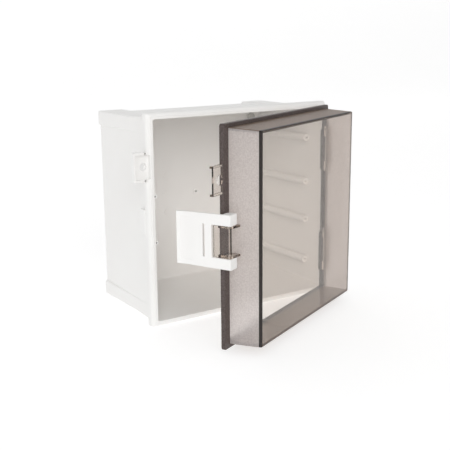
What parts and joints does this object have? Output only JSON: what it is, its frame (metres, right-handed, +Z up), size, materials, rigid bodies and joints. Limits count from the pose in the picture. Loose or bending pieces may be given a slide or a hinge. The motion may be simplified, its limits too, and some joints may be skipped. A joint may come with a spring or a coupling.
{
  "type": "hinged wall enclosure for fire alarm equipment",
  "caption": "White plastic wall box with a smoked, domed, hinged door, a snap latch lever and padlock ears; stored with the door partly open.",
  "frame": {"origin": "centre of the flat rear face, which goes against the wall", "axes": "+Y into the wall, +Z up, +X towards the hinges; the door faces -Y"},
  "size_m": [0.2447, 0.2396, 0.218],
  "materials": {
    "white_plastic": "fine satin moulded, off-white",
    "smoked_plastic": "clear smoked brown, glossy, with a fine etched texture on the sides",
    "seal_rubber": "soft, matt light grey",
    "steel": "zinc plated",
    "plug_plastic": "light grey, soft"
  },
  "bodies": {
    "base": {"base_box": "white_plastic", "mount_plug_upper_left": "plug_plastic", "mount_plug_upper_right": "plug_plastic", "mount_plug_lower_left": "plug_plastic", "mount_plug_lower_right": "plug_plastic", "hinge_bracket_upper": "smoked_plastic", "hinge_bracket_lower": "smoked_plastic", "hinge_pin_upper": "steel", "hinge_pin_lower": "steel", "hinge_screw_upper_a": "steel", "hinge_screw_upper_b": "steel", "hinge_screw_lower_a": "steel", "hinge_screw_lower_b": "steel"},
    "door": {"door_cover": "smoked_plastic", "door_seal": "seal_rubber"},
    "latch": {"latch_lever": "white_plastic", "latch_pin_upper": "steel", "latch_pin_lower": "steel"}
  },
  "joints": [
    {"name": "door_hinge", "type": "hinge", "parent": "base", "child": "door", "pos_m": [0.1102, -0.1213, 0], "axis": [0, 0, 1], "range_deg": [-24.8, 135]},
    {"name": "latch_pivot", "type": "hinge", "parent": "door", "child": "latch", "pos_m": [-0.0856, -0.2187, 0], "axis": [0, 0, 1], "range_deg": [-2, 85]}
  ]
}
